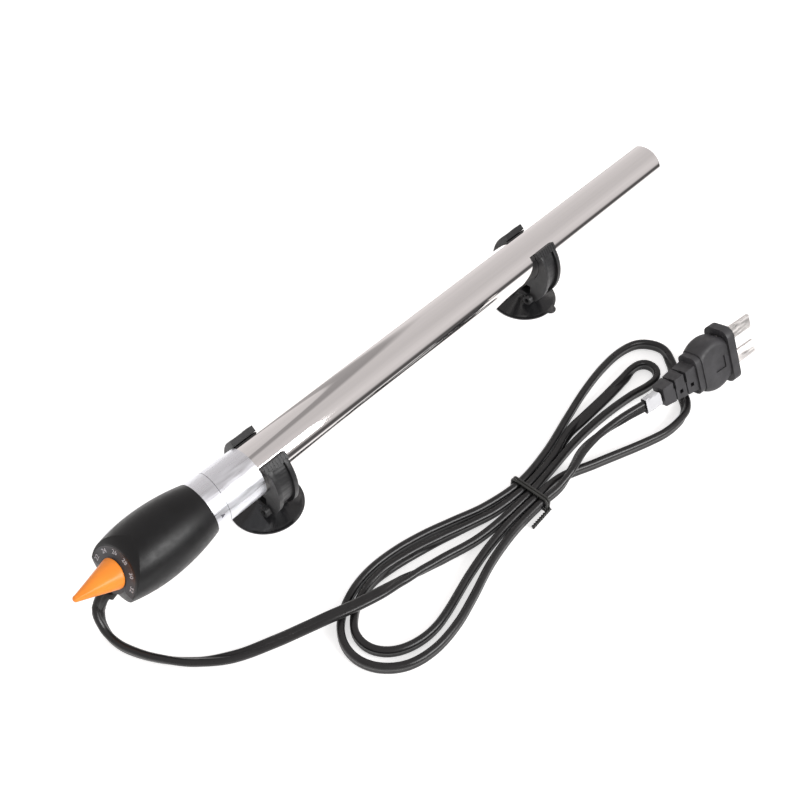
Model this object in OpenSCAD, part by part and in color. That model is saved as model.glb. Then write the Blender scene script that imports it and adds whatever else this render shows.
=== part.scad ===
// Submersible aquarium heater with a slanted dial, two suction-cup clips and a tied mains cord.
// It lies level: +X runs along the tube to its closed end, +Y to the left, +Z up.
// The origin is on the resting plane, under the middle of the heater's length.

/* [Tube] */
// Outside diameter of the tube
tube_d = 21; // [18:0.5:26]
// Wall of the tube
tube_wall = 0.6; // [0.4:0.1:1]
// Length of the tube from the head's rim to the closed end
tube_len = 287; // [240:1:360]
// Rounding of the closed end
tube_end_r = 1.6; // [1.2:0.1:3]
// Length of the tube inside the head
tube_insert = 14; // [12:0.1:17]

/* [Label] */
// Length of the label wrapped round the tube
label_len = 24; // [12:1:28]
// Thickness of the label
label_t = 0.12; // [0.08:0.02:0.2]

/* [Head] */
// Thickness of the barrel's rim round the tube
head_rim_wall = 0.6; // [0.4:0.1:1.5]
// How much narrower the barrel is at its rim than at its widest
head_rear_drop = 2.9; // [1.5:0.1:2.9]
// Distance from the rim to the widest place
head_belly = 22; // [20:0.5:24]
// How much narrower the barrel is 15 mm in front of its widest place
head_front_drop = 1.75; // [1.2:0.05:2]
// Wall of the barrel
head_wall = 1.8; // [1.2:0.1:2]
// Distance from the rim to the middle of the slanted face
face_x = 39.4; // [38:0.1:42]
// Slant of the face away from upright
face_tilt = 26; // [20:1:32]
// Turn of the whole head about the tube's axis
head_roll = 10; // [0:1:20]
// Thickness of the head's front wall
front_wall = 2.4; // [2:0.1:3]
// Distance from the rim to the flat that cuts off the head's lower front
front_flat_x = 40; // [39.5:0.1:41]

/* [Dial and knob] */
// How much narrower the rim of the slanted face is than the barrel's widest place
face_inset = 2.1; // [1.5:0.1:2.5]
// Width of the head's lip round the dial ring
dial_lip = 0.7; // [0.5:0.1:1]
// Depth of the dial ring's seat in the head
dial_seat = 1.4; // [1:0.1:2]
// Radius of the raised hub of the dial ring
dial_hub_r = 6.6; // [6:0.1:7]
// Height of that hub above the dial's rim
dial_hub_h = 0.3; // [0.2:0.1:1]
// Depth of the hollow sweep that the numbers stand on
dial_hollow = 0.45; // [0.2:0.05:0.8]
// Radius of the knob's base
knob_r = 7.4; // [6.5:0.1:8]
// Distance from the knob's axis to the flat along its lower side
knob_flat = 3.5; // [3.2:0.1:4]
// Radius of the knob's blunt tip
knob_tip_r = 1.3; // [1:0.1:1.8]
// Length of the knob from the face to its tip
knob_len = 18; // [14:0.5:20]
// Height of the straight rim at the knob's base
knob_rim_h = 0.5; // [0.3:0.1:1]
// How far the knob's tip stands below its axis
knob_tip_drop = 1.4; // [0:0.1:1.8]
// How far the knob's tip stands to the right of its axis
knob_tip_shift = 1; // [0:0.1:2]
// Gap between the dial's hub and the knob
knob_gap = 0.3; // [0.2:0.05:0.5]

/* [Spindle and thermostat drive] */
// Radius of the spindle
spindle_r = 2; // [1.8:0.1:2.4]
// Radial running clearance of the spindle, the nut and the rod
run_clear = 0.06; // [0.03:0.01:0.1]
// Length of the spindle behind the face
spindle_tail = 16; // [15:0.5:17]
// Radius of the boss that carries the spindle's seals
seal_boss_r = 4.6; // [4.3:0.1:5]
// Length of that boss behind the face
seal_boss_len = 7.2; // [6.5:0.1:8]
// Thickness of an O-ring on the spindle
spindle_seal_t = 1.1; // [1:0.05:1.2]
// Distance of the adjusting nut's middle behind the face
nut_depth = 13; // [12.5:0.1:13.5]
// Length of the adjusting nut
nut_len = 3.2; // [2.8:0.1:3.6]
// Radius of the adjusting nut
nut_r = 3.4; // [3.2:0.1:3.6]
// Radius of the push rod
rod_r = 1.5; // [1.2:0.1:1.6]

/* [Seal plug] */
// Length of the seal plug inside the tube
plug_len = 12; // [10:0.5:13]
// Thickness of the seal plug's flange
plug_flange = 2.6; // [2:0.1:3]
// Thickness of the O-ring in the tube
tube_seal_t = 1.5; // [1.3:0.1:1.8]
// Gap between the seal plug and the tube
plug_clear = 0.05; // [0.02:0.01:0.1]

/* [Thermostat] */
// Length of the thermostat's carrier
base_len = 52; // [48:1:58]
// Thickness of the carrier below its flat top
base_drop = 2.5; // [2:0.1:3]
// Width of the bimetal strip
strip_w = 6; // [5:0.5:7]
// Thickness of the bimetal strip
strip_t = 0.8; // [0.6:0.1:1]

/* [Heating element] */
// Distance from the rim to the element's first disc
element_x = 66; // [64:1:80]
// Radius of the ceramic former
core_r = 5; // [4.5:0.1:5.5]
// Distance between the last disc and the closed end
element_gap = 8; // [6:1:20]
// Thickness of the wound wire
wire_t = 0.8; // [0.6:0.1:1]
// Pitch of the winding
coil_pitch = 9; // [8:0.5:12]
// Thickness of a spacer disc
disc_t = 3; // [2.5:0.5:4]
// Gap between a spacer disc and the tube
disc_gap = 0.2; // [0.1:0.05:0.3]

/* [Clips] */
// Distance from the rim to the middle of the near clip
clip_near_x = 30.3; // [30:0.1:60]
// Distance between the two clips
clip_spacing = 164; // [120:1:200]
// Length of a clip's jaws along the tube
clip_len = 10; // [9:0.5:12]
// Running fit of a clip round the tube
clip_fit = 0.06; // [0.03:0.01:0.1]
// Half of a clip's greatest width
jaw_half_w = 15.8; // [15.4:0.1:16.4]
// Half of the height of the oval that a clip's outside follows
jaw_half_h = 18; // [17:0.1:19]
// Distance of that oval's middle below the tube's axis
jaw_sink = 5.5; // [5:0.1:6]
// Depth of the channel in the outside of a clip
jaw_channel = 1.5; // [1:0.1:2]
// Thickness of the flanges beside the channel
jaw_flange = 2; // [1.5:0.1:2.5]
// Height of the jaws' tips above the tube's axis
jaw_top = 7.4; // [6.5:0.1:8]
// Length of a grip bar
bar_len = 11.2; // [10:0.2:13]
// Height of the base plate's top above the resting plane
plate_top = 9.6; // [8:0.1:12]
// Thickness of the base plate
plate_t = 2.2; // [1.8:0.1:2.4]
// Radius of the tubular bosses under the plate
boss_r = 2.3; // [2:0.1:2.4]
// Half of the distance between those bosses
boss_y = 7.2; // [7:0.1:7.4]
// Length of those bosses
boss_len = 14.6; // [12:0.2:15]

/* [Suction cups] */
// Radius of a cup's rim
cup_r = 15.4; // [13:0.1:18]
// Thickness of the rim
cup_rim_t = 0.9; // [0.8:0.1:1.2]
// Radius of a cup's hub
cup_hub_r = 4; // [3.6:0.1:4.4]
// Gap between the hub and the base plate
hub_gap = 0.4; // [0.2:0.1:0.6]
// Height of the hollow under a cup
cup_hollow = 3.4; // [2.5:0.1:3.8]
// Radius of the peg's neck
neck_r = 2.4; // [2:0.1:2.6]
// Radius of the peg's head
peg_r = 3.4; // [3:0.1:3.8]
// Height of the peg's head
peg_h = 3.2; // [2.5:0.1:4]
// Gap between the peg's head and the bridge under the tube
peg_room = 1.5; // [0.5:0.1:3]
// Reach of the pull tab beyond the rim
tab_reach = 1.9; // [1:0.1:4]
// Width of the pull tab
tab_w = 5.4; // [4:0.2:8]

/* [Cord] */
// Width of the flat cord
cord_w = 5; // [4.6:0.1:5.2]
// Thickness of the flat cord
cord_t = 3; // [2.8:0.1:3]

/* [Plug] */
// Length of the strain relief
relief_len = 18; // [15:0.5:22]
// Length of the plug's body from the collar to the flange
body_len = 15; // [13:0.5:18]
// Width of the flange across the blades
flange_w = 26; // [24:0.5:28]
// Thickness of the flange's narrow side
flange_t = 13.5; // [12:0.5:15]
// Distance between the blades
blade_pitch = 12.7; // [12.2:0.1:13.2]
// Width of a blade
blade_w = 6.35; // [6:0.05:6.6]
// Thickness of a blade
blade_t = 1.5; // [1.4:0.1:1.6]
// Length of a blade outside the plug
blade_len = 15.6; // [14:0.2:18]

/* [Hidden] */
$fn = 64;
eps = 0.01;
glue_gap = 0.03;
far = 80;

tube_r = tube_d / 2;
tube_inner_r = tube_r - tube_wall;

// The clips and cups set the height of the tube's axis above the resting plane.
bore_r = tube_r + clip_fit;
bridge_t = 1.54;
seat_gap = 0.1;
axis_h = plate_top + seat_gap + peg_h + peg_room + bridge_t + bore_r;

head_r = tube_r + head_rim_wall + head_rear_drop;
face_r = head_r - face_inset;
dial_r = face_r - dial_lip;
knob_reach = face_x + (knob_len - knob_tip_r) * cos(face_tilt) + knob_tip_r;
rim_x = (knob_reach - tube_len) / 2;

// Moves to the head's rim on the tube's axis.
module at_rim() translate([rim_x, 0, axis_h]) children();

// Turns a shape made upwards so that it runs along the tube.
module along_tube() rotate([0, 90, 0]) children();

// Turns a flat outline (x sideways, y up) so that it is swept along the tube.
module across_tube() rotate([90, 0, 90]) children();

// Moves from the rim to the slanted face: +Z out of the face, +X up the face.
module on_face()
  translate([-face_x, 0, 0]) rotate([head_roll, 0, 0]) rotate([0, face_tilt - 90, 0]) children();

// Place, counted from the rim, of a point at this depth behind the face on the spindle's axis.
function behind_face(depth) = [
  depth * cos(face_tilt) - face_x,
  depth * sin(face_tilt) * sin(head_roll),
  -depth * sin(face_tilt) * cos(head_roll)];

// Rod with one rounded end, made upwards from z0 to z1.
module rounded_rod(r, z0, z1, round_r) rotate_extrude() {
  translate([0, z0]) square([r, z1 - round_r - z0]);
  translate([0, z0]) square([r - round_r, z1 - z0]);
  translate([r - round_r, z1 - round_r]) circle(round_r);
}

module ring(r_in, r_out, z0, z1) translate([0, 0, z0]) difference() {
  cylinder(r = r_out, h = z1 - z0);
  translate([0, 0, -eps]) cylinder(r = r_in, h = z1 - z0 + 2 * eps);
}

module o_ring(r_mid, section) rotate_extrude() translate([r_mid, 0]) circle(d = section, $fn = 32);

// ---- Tube and label ----

module outer_tube() color("silver") at_rim() along_tube() difference() {
  rounded_rod(tube_r, -tube_insert, tube_len, tube_end_r);
  rounded_rod(tube_inner_r, -tube_insert - eps, tube_len - tube_wall, tube_end_r - tube_wall);
}

label_clear = 0.02;
label_gap = 0.1;
module rating_label() color("whitesmoke") at_rim() along_tube()
  ring(tube_r + label_clear, tube_r + label_clear + label_t, label_gap, label_len);

// ---- Head ----

front_span = 15;
function arc_radius(drop, span) = (drop * drop + span * span) / (2 * drop);
rear_arc_r = arc_radius(head_rear_drop, head_belly);
front_arc_r = arc_radius(head_front_drop, front_span);
nose_span = face_x + face_r - head_belly;
arc_facets = 720;

// Barrel about the tube's axis, with its skin moved inwards by shrink.
module barrel(shrink) along_tube() rotate_extrude() {
  intersection() {
    translate([0, -head_belly]) square([head_r, head_belly]);
    translate([head_r - rear_arc_r, -head_belly]) circle(rear_arc_r - shrink, $fn = arc_facets);
  }
  intersection() {
    translate([0, -head_belly - nose_span]) square([head_r, nose_span]);
    translate([head_r - front_arc_r, -head_belly]) circle(front_arc_r - shrink, $fn = arc_facets);
  }
}

// Rounds the barrel over to the rim of the slanted face, with its skin moved inwards by shrink.
nose_r = 8.5;
nose_from = 15;
nose_to = 59;
nose_step = 4;
nose_mid = [face_r - nose_r * sin(nose_from), -nose_r * cos(nose_from)];
module nose_mask(shrink) on_face() rotate_extrude() polygon(concat(
  [[0, -shrink]],
  [for (a = [nose_from : nose_step : nose_to])
    nose_mid + (nose_r - shrink) * [sin(a), cos(a)]],
  [[far, -far / 4], [far, -far], [0, -far]]));

gland_reach = 4;
gland_side = 1.7;
gland_inset = 3.3;
gland_tip = [-face_x - gland_reach, gland_side, gland_inset - face_r];
gland_len = 6;
gland_pitch = 36;
gland_round = 2.3;
gland_half = 1.3;

// Moves from the rim to the gland's outer end: +Z the way the cord leaves, +Y across the flat cord.
module at_gland()
  translate(gland_tip) rotate([head_roll, 0, 0]) rotate([0, -90 - gland_pitch, 0]) children();

// Rounded slot of the gland, grown by this much, running this far beyond the gland's outer end.
module gland_shape(grow, beyond) at_gland()
  translate([0, 0, -gland_len]) linear_extrude(gland_len + beyond) {
    for (side = [-1, 1]) translate([0, side * gland_half]) circle(gland_round + grow);
    square([2 * (gland_round + grow), 2 * gland_half], center = true);
  }

// Share of an O-ring's thickness that its groove leaves it.
spindle_squeeze = 0.95;
seal_groove_r = spindle_r + run_clear + spindle_squeeze * spindle_seal_t;
seal_depths = [3.2, 5.6];

// Boss with the spindle's bore and seal grooves taken out of it later.
module seal_boss(grow) on_face() translate([0, 0, -seal_boss_len - grow])
  cylinder(r = seal_boss_r + grow, h = seal_boss_len + grow - eps);

module spindle_bore() on_face() {
  translate([0, 0, -far / 2]) cylinder(r = spindle_r + run_clear, h = far);
  for (depth = seal_depths) translate([0, 0, -depth - spindle_seal_t / 2])
    cylinder(r = seal_groove_r, h = spindle_seal_t);
}

// Everything in front of a flat across the tube at this distance from the rim.
module in_front_of(x) translate([-far - x, -far / 2, -far / 2]) cube(far);

foot_over = 0.3;
foot_r = dial_hub_r + foot_over;

// What the flat takes off the head's lower front. The round foot under the dial's hub stays.
module front_cut() difference() {
  in_front_of(front_flat_x);
  on_face() translate([0, 0, -far / 2]) cylinder(r = foot_r, h = far);
}

module behind_front_wall() on_face() translate([0, 0, -far - front_wall]) cylinder(r = far, h = far);

module head_housing() color("#2b2b2d") at_rim() difference() {
  intersection() {
    barrel(0);
    nose_mask(0);
  }
  difference() {
    intersection() {
      barrel(head_wall);
      nose_mask(head_wall);
      behind_front_wall();
      translate([front_wall - front_flat_x, -far / 2, -far / 2])
        cube([front_flat_x - front_wall - tube_insert, far, far]);
    }
    seal_boss(0);
  }
  along_tube() translate([0, 0, -tube_insert - eps]) cylinder(r = tube_r + glue_gap, h = far);
  on_face() translate([0, 0, -dial_seat]) cylinder(r = dial_r + glue_gap, h = far);
  front_cut();
  spindle_bore();
  gland_shape(glue_gap, far);
}

// Point of the hollow sweep at this share of the way from the dial's rim to its hub.
function cove_point(t) = [
  (1 - t) * dial_r + t * dial_hub_r,
  t * dial_hub_h - 4 * dial_hollow * t * (1 - t)];
cove_steps = 6;

// Whole ring before the flat, the bore and the gland's slot are taken out of it.
module dial_disc() on_face() rotate_extrude() polygon(concat(
  [[0, dial_hub_h], [0, -dial_seat], [dial_r, -dial_seat]],
  [for (k = [0 : cove_steps]) cove_point(k / cove_steps)]));

module dial_ring() color("#4a4a4e") at_rim() difference() {
  union() {
    difference() {
      dial_disc();
      in_front_of(front_flat_x);
    }
    on_face() translate([0, 0, -dial_seat]) cylinder(r = foot_r, h = dial_seat + dial_hub_h);
  }
  spindle_bore();
  gland_shape(glue_gap, far);
}

knob_z = dial_hub_h + knob_gap;
knob_sides = 32;
knob_rings = 12;
knob_span = knob_len - knob_tip_r - knob_z - knob_rim_h;

// Radius of the knob at this share of the way from its rim to its tip's middle.
function knob_radius(t) = (1 - t) * knob_r + t * knob_tip_r;

// One outline of the knob: share of the way, height and radius give a circle cut off by the flat.
function knob_outline(t, z, r) = [for (i = [0 : knob_sides - 1]) let (a = 360 * i / knob_sides)
  [max(r * cos(a) - t * knob_tip_drop, -knob_flat), r * sin(a) - t * knob_tip_shift, z]];

knob_tip_steps = [30, 55, 75];
knob_points = concat(
  knob_outline(0, knob_z, knob_r),
  [for (j = [0 : knob_rings]) let (t = j / knob_rings)
    each knob_outline(t, knob_z + knob_rim_h + t * knob_span, knob_radius(t))],
  [for (a = knob_tip_steps)
    each knob_outline(1, knob_len - knob_tip_r * (1 - sin(a)), knob_tip_r * cos(a))]);

// Skin of a stack of outlines with the same number of points each, closed at both ends.
function stack_faces(sides, count) = concat(
  [[for (i = [0 : sides - 1]) i]],
  [for (j = [0 : count - 2], i = [0 : sides - 1])
    let (k = (i + 1) % sides, low = j * sides, high = low + sides)
    each [[low + i, high + i, high + k], [low + i, high + k, low + k]]],
  [[for (i = [sides - 1 : -1 : 0]) (count - 1) * sides + i]]);

module control_knob() color("darkorange") at_rim() on_face() difference() {
  polyhedron(knob_points, stack_faces(knob_sides, len(knob_points) / knob_sides), convexity = 4);
  translate([0, 0, knob_z - eps]) cylinder(r = spindle_r, h = knob_grip);
}

gland_room = 0.3;
module cord_gland() color("#1c1c1e") at_rim() difference() {
  gland_shape(0, 0);
  seal_boss(gland_room);
  on_face() translate([0, 0, -eps]) cylinder(r = knob_r + gland_room, h = far);
}

// ---- Spindle, nut and push rod ----

knob_grip = 5;
clip_groove = 0.5;
clip_mouth = 1.2;
spindle_clip_t = 0.8;
clip_play = 0.15;
clip_depth = seal_boss_len + clip_play;
screw_r = 1.6;
spindle_foot = 0.4;
screw_from = clip_depth + spindle_clip_t + spindle_foot;

module knob_spindle() color("goldenrod") at_rim() on_face() difference() {
  union() {
    translate([0, 0, -screw_from]) cylinder(r = spindle_r, h = screw_from + knob_z + knob_grip - eps);
    translate([0, 0, -spindle_tail]) cylinder(r = screw_r, h = spindle_tail);
  }
  translate([0, 0, -clip_depth - spindle_clip_t]) ring(spindle_r - clip_groove, far, 0, spindle_clip_t);
}

module spindle_clip() color("silver") at_rim() on_face() difference() {
  translate([0, 0, -clip_depth - spindle_clip_t])
    ring(spindle_r - clip_groove + glue_gap, spindle_r + clip_groove, 0, spindle_clip_t);
  translate([0, -clip_mouth / 2, -far / 2]) cube([far, clip_mouth, far]);
}

module spindle_seals() color("#202020") at_rim() on_face()
  for (depth = seal_depths) translate([0, 0, -depth])
    o_ring((spindle_r + run_clear + seal_groove_r) / 2, seal_groove_r - spindle_r - run_clear);

guide_gap = 0.1;
nut_flat = spindle_r + clip_groove + guide_gap;
rod_axis = behind_face(nut_depth);
rod_gap = 0.3;
nose_over = 1.2;
nose_grow = 0.4;
nut_nose = nut_r + nose_over;

// The nut's nose is square to the tube, so the rod sees the same gap at every setting.
module adjusting_nut() color("peru") at_rim() difference() {
  union() {
    on_face() translate([0, 0, -nut_depth - nut_len / 2]) intersection() {
      cylinder(r = nut_r, h = nut_len);
      translate([-nut_r, -nut_flat, 0]) cube([2 * nut_r, 2 * nut_flat, nut_len]);
    }
    translate(rod_axis) along_tube() cylinder(r = rod_r + nose_grow, h = nut_nose);
  }
  on_face() translate([0, 0, -far]) cylinder(r = screw_r + run_clear, h = far);
}

guide_t = 1.4;
guide_depth = 3.4;
guide_half_w = nut_r + 0.8;
guide_inside = nut_flat + run_clear;

// Two rails behind the seal boss hold the nut's flats.
module nut_guide() color("#d8d2c4") at_rim() intersection() {
  barrel(head_wall);
  on_face() for (y = [-guide_inside - guide_t, guide_inside])
    translate([-guide_half_w, y, -nut_depth - guide_depth])
      cube([2 * guide_half_w, guide_t, nut_depth + guide_depth - seal_boss_len]);
}

lever_x = 5;
rod_from = rod_axis[0] + nut_nose + rod_gap;
module push_rod() color("ivory") at_rim() translate([rod_from, rod_axis[1], rod_axis[2]]) along_tube()
  cylinder(r = rod_r, h = lever_x - rod_from);

// ---- Seal plug ----

wire_r = 0.7;
wire_y = 5.6;
wire_z = 2.5;
seal_x = tube_insert - plug_len / 2;
tube_squeeze = 0.9;
tube_seal_groove = tube_inner_r - tube_squeeze * tube_seal_t;

module seal_plug() color("#33302e") at_rim() difference() {
  along_tube() difference() {
    union() {
      translate([0, 0, -tube_insert - plug_flange]) cylinder(r = tube_r, h = plug_flange);
      translate([0, 0, -tube_insert - eps]) cylinder(r = tube_inner_r - plug_clear, h = plug_len);
    }
    ring(tube_seal_groove, far, -seal_x - tube_seal_t / 2, -seal_x + tube_seal_t / 2);
  }
  translate([-far, rod_axis[1], rod_axis[2]]) along_tube() cylinder(r = rod_r + run_clear, h = 2 * far);
  for (side = [-1, 1]) translate([-far, side * wire_y, wire_z]) along_tube()
    cylinder(r = wire_r, h = 2 * far);
}

module tube_seal() color("#202020") at_rim() along_tube() translate([0, 0, -seal_x])
  o_ring((tube_inner_r + tube_seal_groove) / 2, tube_inner_r - tube_seal_groove);

// ---- Thermostat ----

base_gap = 0.3;
base_x = -tube_insert + plug_len + base_gap;
base_r = tube_inner_r - base_gap;
strip_short = 14;
strip_len = base_len - strip_short;
post_h = 1.6;
post_len = 6;
strip_z = -base_drop + post_h;
arm_lift = 3;
arm_z = strip_z + arm_lift;
arm_inset = 9;
arm_x = base_x + arm_inset;
arm_len = 30;
arm_t = 0.5;
arm_post_len = 5;
rod_slot = 0.5;
rod_end_room = 1.2;

// Lower part of a round carrier, cut flat on top, with a post for the strip and one for the arm.
module thermostat_base() color("#cfc7b2") at_rim() difference() {
  union() {
    intersection() {
      translate([base_x, 0, 0]) along_tube() cylinder(r = base_r, h = base_len);
      translate([base_x, -far / 2, -far - base_drop]) cube([base_len, far, far]);
    }
    translate([base_x + base_len - post_len, -strip_w / 2, -base_drop - eps])
      cube([post_len, strip_w, post_h + eps]);
    translate([arm_x, -strip_w / 2, -base_drop - eps])
      cube([arm_post_len, strip_w, post_h + arm_lift + eps]);
  }
  translate([base_x - eps, rod_axis[1], rod_axis[2]]) {
    along_tube() cylinder(r = rod_r + rod_slot, h = lever_x - base_x + rod_end_room);
    translate([0, -rod_r - rod_slot, 0])
      cube([lever_x - base_x + rod_end_room, 2 * (rod_r + rod_slot), far]);
  }
}

module bimetal_strip() color("#b88a5a") at_rim()
  translate([base_x + base_len - strip_len, -strip_w / 2, strip_z]) cube([strip_len, strip_w, strip_t]);

module contact_arm() color("#c9a15a") at_rim()
  translate([arm_x, -strip_w / 2, arm_z]) cube([arm_len, strip_w, arm_t]);

point_r = 1.5;
point_h = 1;
point_inset = 3;
module contact_points() color("silver") at_rim()
  for (z = [strip_z + strip_t, arm_z - point_h])
    translate([base_x + base_len - strip_len + point_inset, 0, z]) cylinder(r = point_r, h = point_h);

magnet_size = [6, 4, 3];
magnet_inset = 2;
module snap_magnet() color("dimgray") at_rim()
  translate([arm_x + arm_len - magnet_size[0] - magnet_inset, -magnet_size[1] / 2, arm_z + arm_t])
    cube(magnet_size);

rivet_r = 1.8;
rivet_h = 0.8;
module base_rivets() color("silver") at_rim() {
  translate([base_x + base_len - post_len / 2, 0, strip_z + strip_t])
    cylinder(r = rivet_r, h = rivet_h);
  translate([arm_x + arm_post_len / 2, 0, arm_z + arm_t]) cylinder(r = rivet_r, h = rivet_h);
}

capacitor_size = [9, 7, 4];
module suppressor_capacitor() color("#8a2f22") at_rim()
  translate([base_x + base_len, 0, strip_z + strip_t + rivet_h + base_gap])
    translate([-capacitor_size[0], -capacitor_size[1] / 2, 0]) cube(capacitor_size);

fuse_r = 1.6;
fuse_len = 9;
module thermal_fuse() color("#d9d9d9") at_rim()
  translate([arm_x, 0, arm_z + arm_t + rivet_h + base_gap + fuse_r]) along_tube()
    cylinder(r = fuse_r, h = fuse_len);

// ---- Heating element ----

element_end = tube_len - tube_wall - element_gap;
core_len = element_end - element_x;

module element_core() color("#efe9dc") at_rim() along_tube()
  translate([0, 0, element_x]) cylinder(r = core_r, h = core_len);

coil_sides = 12;
coil_clear = 0.3;
coil_margin = 2;
coil_turns = floor((core_len - 2 * disc_t - 2 * coil_margin) / coil_pitch);
function coil_corner(step, out, up) =
  let (a = 360 * step / coil_sides, r = core_r + coil_clear + out * wire_t)
  [r * cos(a), r * sin(a), coil_pitch * step / coil_sides + up * wire_t];
coil_points = [for (s = [0 : coil_turns * coil_sides])
  each [coil_corner(s, 0, 0), coil_corner(s, 1, 0), coil_corner(s, 1, 1), coil_corner(s, 0, 1)]];

module heating_coil() color("#6d6a66") at_rim() along_tube()
  translate([0, 0, element_x + disc_t + coil_margin])
    polyhedron(coil_points, stack_faces(4, len(coil_points) / 4), convexity = 8);

module spacer_discs() color("#e6dfcf") at_rim() difference() {
  along_tube() for (z = [element_x, element_end - disc_t])
    ring(core_r + glue_gap, tube_inner_r - disc_gap, z, z + disc_t);
  for (side = [-1, 1]) translate([0, side * wire_y, wire_z]) along_tube()
    cylinder(r = wire_r + glue_gap, h = element_x + 2 * disc_t);
}

wire_lead = 4;
wire_over = 1;
wire_from = -tube_insert - plug_flange - wire_lead;
module lead_wires() color("#b23a2e") at_rim() for (side = [-1, 1])
  translate([wire_from, side * wire_y, wire_z]) along_tube()
    cylinder(r = wire_r - glue_gap, h = element_x + disc_t + wire_over - wire_from);

crimp_len = 6;
crimp_t = 0.6;
module crimp_sleeves() color("silver") at_rim() for (side = [-1, 1])
  translate([wire_from - crimp_len / 2, side * wire_y, wire_z]) along_tube()
    ring(wire_r, wire_r + crimp_t, 0, crimp_len);

// ---- Clips and suction cups ----

plate_bottom = plate_top - plate_t;

window_half_w = 7;
window_top = axis_h - bore_r - bridge_t;

// Outline of a clip across the tube, narrowed by this much: an oval cut off above the jaws and
// below the base plate, with the tube's bore and the window round the cup's peg.
module clip_outline(narrow) difference() {
  translate([0, -jaw_sink]) scale([jaw_half_w - narrow, jaw_half_h - narrow]) circle(1);
  circle(bore_r);
  translate([-far / 2, jaw_top]) square([far, far]);
  translate([-far / 2, plate_bottom - axis_h - far]) square([far, far]);
  translate([-window_half_w, plate_top - axis_h]) square([2 * window_half_w, window_top - plate_top]);
}

bar_t = 2.6;
bar_w = 3.4;
bar_clear = 0.05;
bar_turn = 38;
bar_teeth = 7;
tooth_cut = 0.5;
tooth_depth = 0.15;
tooth_pitch = bar_len / (bar_teeth + 1);

// Grip bar at the tip of one jaw, with fine teeth across its outside.
module grip_bar(side) translate([-bar_len / 2, 0, 0]) across_tube()
  rotate(90 - side * (90 - bar_turn)) translate([bore_r + bar_clear, -bar_w / 2]) difference() {
    linear_extrude(bar_len) square([bar_t, bar_w]);
    for (i = [1 : bar_teeth])
      translate([bar_t - tooth_depth, -eps, i * tooth_pitch - tooth_cut / 2])
        cube([far, bar_w + 2 * eps, tooth_cut]);
  }

boss_sink = 0.2;
boss_z = plate_bottom + boss_sink;
boss_hole_r = 1.1;
peg_clear = 0.06;
bridge_skin = 1.2;

module clip(x) color("#1d1d1f") translate([rim_x + x, 0, 0]) difference() {
  union() {
    translate([0, 0, axis_h]) {
      for (end = [-clip_len / 2, clip_len / 2 - jaw_flange])
        translate([end, 0, 0]) across_tube() linear_extrude(jaw_flange) clip_outline(0);
      translate([-clip_len / 2, 0, 0]) across_tube() linear_extrude(clip_len) clip_outline(jaw_channel);
      for (side = [-1, 1]) grip_bar(side);
    }
    for (side = [-1, 1]) translate([-boss_len / 2, side * boss_y, boss_z]) along_tube()
      cylinder(r = boss_r, h = boss_len);
  }
  for (side = [-1, 1]) translate([-far / 2, side * boss_y, boss_z]) along_tube()
    cylinder(r = boss_hole_r, h = far);
  translate([0, 0, axis_h - far / 2])
    cylinder(r = neck_r + peg_clear, h = far / 2 - bore_r - bridge_skin);
}

module clip_near() clip(clip_near_x);
module clip_far() clip(clip_near_x + clip_spacing);

cup_flare = 0.3;
hub_collar = 2;
peg_taper = 1;
skirt_t = 1.2;
hollow_step = 1;
cup_hub_h = plate_bottom - hub_gap;

// Suction cup about its own axis, its rim on z = 0, its tab towards +X.
module suction_cup() difference() {
  union() {
    rotate_extrude() polygon([
      [0, 0], [cup_r, 0], [cup_r, cup_rim_t], [cup_hub_r + cup_flare, cup_hub_h - hub_collar],
      [cup_hub_r, cup_hub_h], [0, cup_hub_h]]);
    cylinder(r = neck_r, h = plate_top + seat_gap + eps);
    translate([0, 0, plate_top + seat_gap]) cylinder(r = peg_r, h = peg_h - peg_taper);
    translate([0, 0, plate_top + seat_gap + peg_h - peg_taper - eps])
      cylinder(r1 = peg_r, r2 = peg_r - peg_taper, h = peg_taper);
    linear_extrude(cup_rim_t) {
      translate([cup_r + tab_reach - tab_w / 2, 0]) circle(d = tab_w);
      translate([cup_r - tab_w, -tab_w / 2]) square([tab_w + tab_reach - tab_w / 2, tab_w]);
    }
  }
  translate([0, 0, -eps])
    cylinder(r1 = cup_r - skirt_t, r2 = cup_hub_r - hollow_step, h = cup_hollow + eps);
}

near_tab_turn = 90;
far_tab_turn = -82;
module cup_near() color("#141416")
  translate([rim_x + clip_near_x, 0, 0]) rotate(near_tab_turn) suction_cup();
module cup_far() color("#141416")
  translate([rim_x + clip_near_x + clip_spacing, 0, 0]) rotate(far_tab_turn) suction_cup();

// ---- Cord ----

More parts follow.
